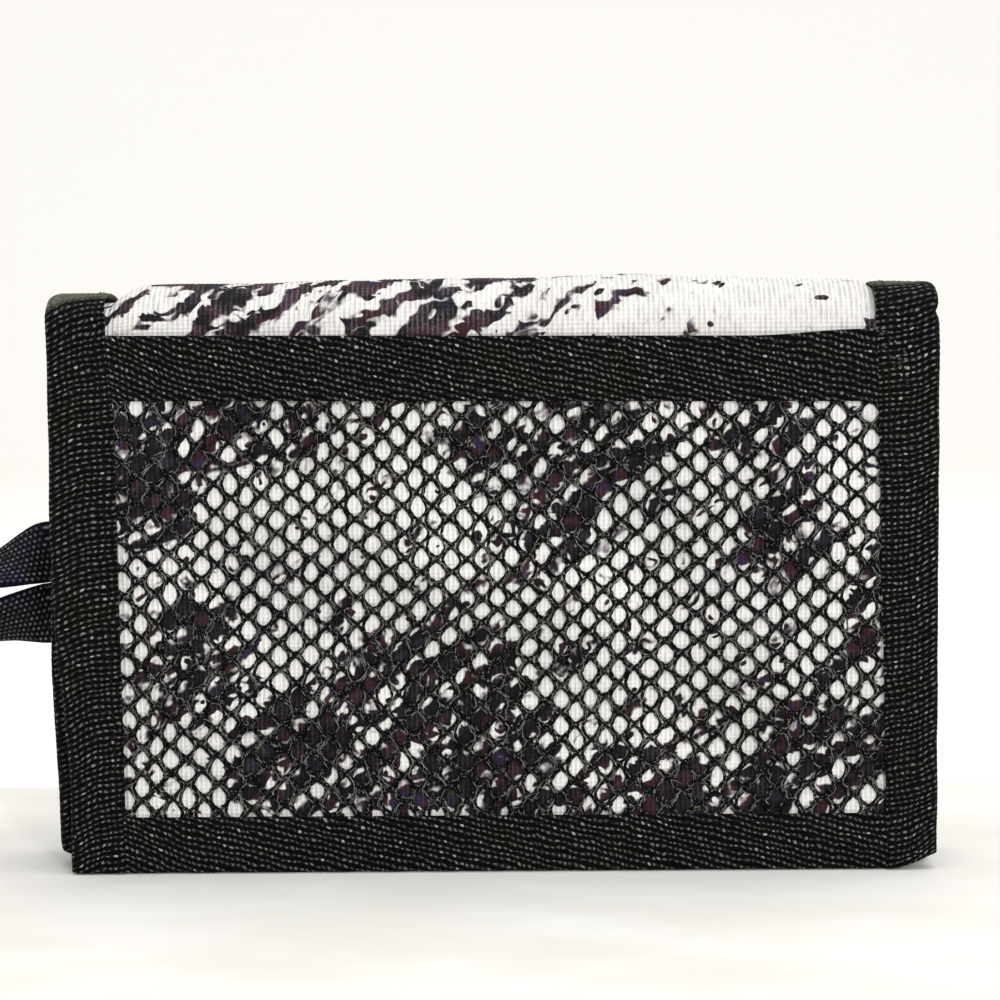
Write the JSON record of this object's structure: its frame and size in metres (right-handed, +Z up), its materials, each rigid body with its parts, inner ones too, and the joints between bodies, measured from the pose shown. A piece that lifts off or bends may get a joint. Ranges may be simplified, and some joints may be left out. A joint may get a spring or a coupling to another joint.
{
  "type": "trifold wallet",
  "caption": "Cloth trifold wallet that folds like a letter C, with a mesh pocket on its flap, bound edges, a zipped coin pocket behind and a lanyard loop.",
  "frame": {"origin": "middle of the flat under the bottom fold, which the closed wallet stands on", "axes": "+X along the width, away from the lanyard loop; +Y from the front flap towards the coin pocket; +Z up, to the top fold"},
  "size_m": [0.1641, 0.0225, 0.0853],
  "materials": {
    "printed_canvas": "ribbed polyester canvas with a dark all-over print",
    "binding_tape": "heavy woven tape",
    "mesh": "knitted net",
    "lining": "plain woven nylon",
    "webbing": "ribbed webbing",
    "board": "matt",
    "hook_tape": "hooks",
    "loop_tape": "brushed pile",
    "clear_vinyl": "clear",
    "zip_tape": "woven",
    "zip_teeth": "coil",
    "zip_metal": "satin black"
  },
  "bodies": {
    "back": {"back_shell": "printed_canvas", "back_board": "board", "back_lining": "lining", "bill_divider": "lining", "card_pocket_top": "lining", "card_pocket_middle": "lining", "card_pocket_bottom": "lining", "card_edge_top": "binding_tape", "card_edge_middle": "binding_tape", "card_edge_bottom": "binding_tape", "back_binding_left": "binding_tape", "back_binding_right": "binding_tape", "back_lining_binding_right": "binding_tape", "coin_pocket_panel": "printed_canvas", "coin_pocket_top_strip": "printed_canvas", "coin_pocket_binding": "binding_tape", "zip_tape_lower": "zip_tape", "zip_tape_upper": "zip_tape", "zip_teeth_lower": "zip_teeth", "zip_teeth_upper": "zip_teeth", "zip_stops": "zip_metal", "loop_tails": "webbing", "top_fold_shell": "printed_canvas", "top_fold_lining": "lining", "top_fold_binding_left": "binding_tape", "top_fold_binding_right": "binding_tape", "top_fold_lining_binding_right": "binding_tape", "bottom_fold_shell": "printed_canvas", "bottom_fold_lining": "lining", "bottom_fold_binding_left": "binding_tape", "bottom_fold_binding_right": "binding_tape", "bottom_fold_lining_binding_right": "binding_tape"},
    "flap": {"flap_shell": "printed_canvas", "flap_board": "board", "flap_lining": "lining", "mesh_panel": "mesh", "mesh_hem_tape": "binding_tape", "flap_binding_bottom": "binding_tape", "flap_binding_left": "binding_tape", "flap_binding_right": "binding_tape", "flap_lining_binding_right": "binding_tape", "hook_patch": "hook_tape"},
    "inner": {"inner_shell": "printed_canvas", "inner_board": "board", "inner_lining": "lining", "loop_patch": "loop_tape", "inner_binding_left": "binding_tape", "inner_binding_right": "binding_tape", "inner_lining_binding_right": "binding_tape", "inner_binding_end": "binding_tape", "id_window": "clear_vinyl", "id_window_frame": "binding_tape"},
    "lanyard_loop": {"lanyard_loop": "webbing"},
    "zip_slider": {"zip_slider": "zip_metal"},
    "zip_pull": {"zip_pull": "zip_metal"}
  },
  "joints": [
    {"name": "flap_fold", "type": "hinge", "parent": "back", "child": "flap", "pos_m": [0, -0.00213, 0.086], "axis": [-1, 0, 0], "range_deg": [0, 178], "deforming": ["top_fold_shell", "top_fold_lining", "top_fold_binding_left", "top_fold_binding_right", "top_fold_lining_binding_right"]},
    {"name": "inner_fold", "type": "hinge", "parent": "back", "child": "inner", "pos_m": [0, -0.0003, 0.0067], "axis": [1, 0, 0], "range_deg": [0, 81], "deforming": ["bottom_fold_shell", "bottom_fold_lining", "bottom_fold_binding_left", "bottom_fold_binding_right", "bottom_fold_lining_binding_right"]},
    {"name": "loop_swing", "type": "hinge", "parent": "back", "child": "lanyard_loop", "pos_m": [-0.0665, 0.0026, 0.0402], "axis": [0, 0, 1], "range_deg": [-65, 65]},
    {"name": "zip_slide", "type": "slide", "parent": "back", "child": "zip_slider", "axis": [1, 0, 0], "range_m": [-0.086, 0]},
    {"name": "pull_swing", "type": "hinge", "parent": "zip_slider", "child": "zip_pull", "pos_m": [0.043, 0.01055, 0.063], "axis": [1, 0, 0], "range_deg": [0, 160]}
  ],
  "couplings": [
    {"joint": "inner_fold", "follows": "flap_fold", "ratio": 0.45}
  ]
}
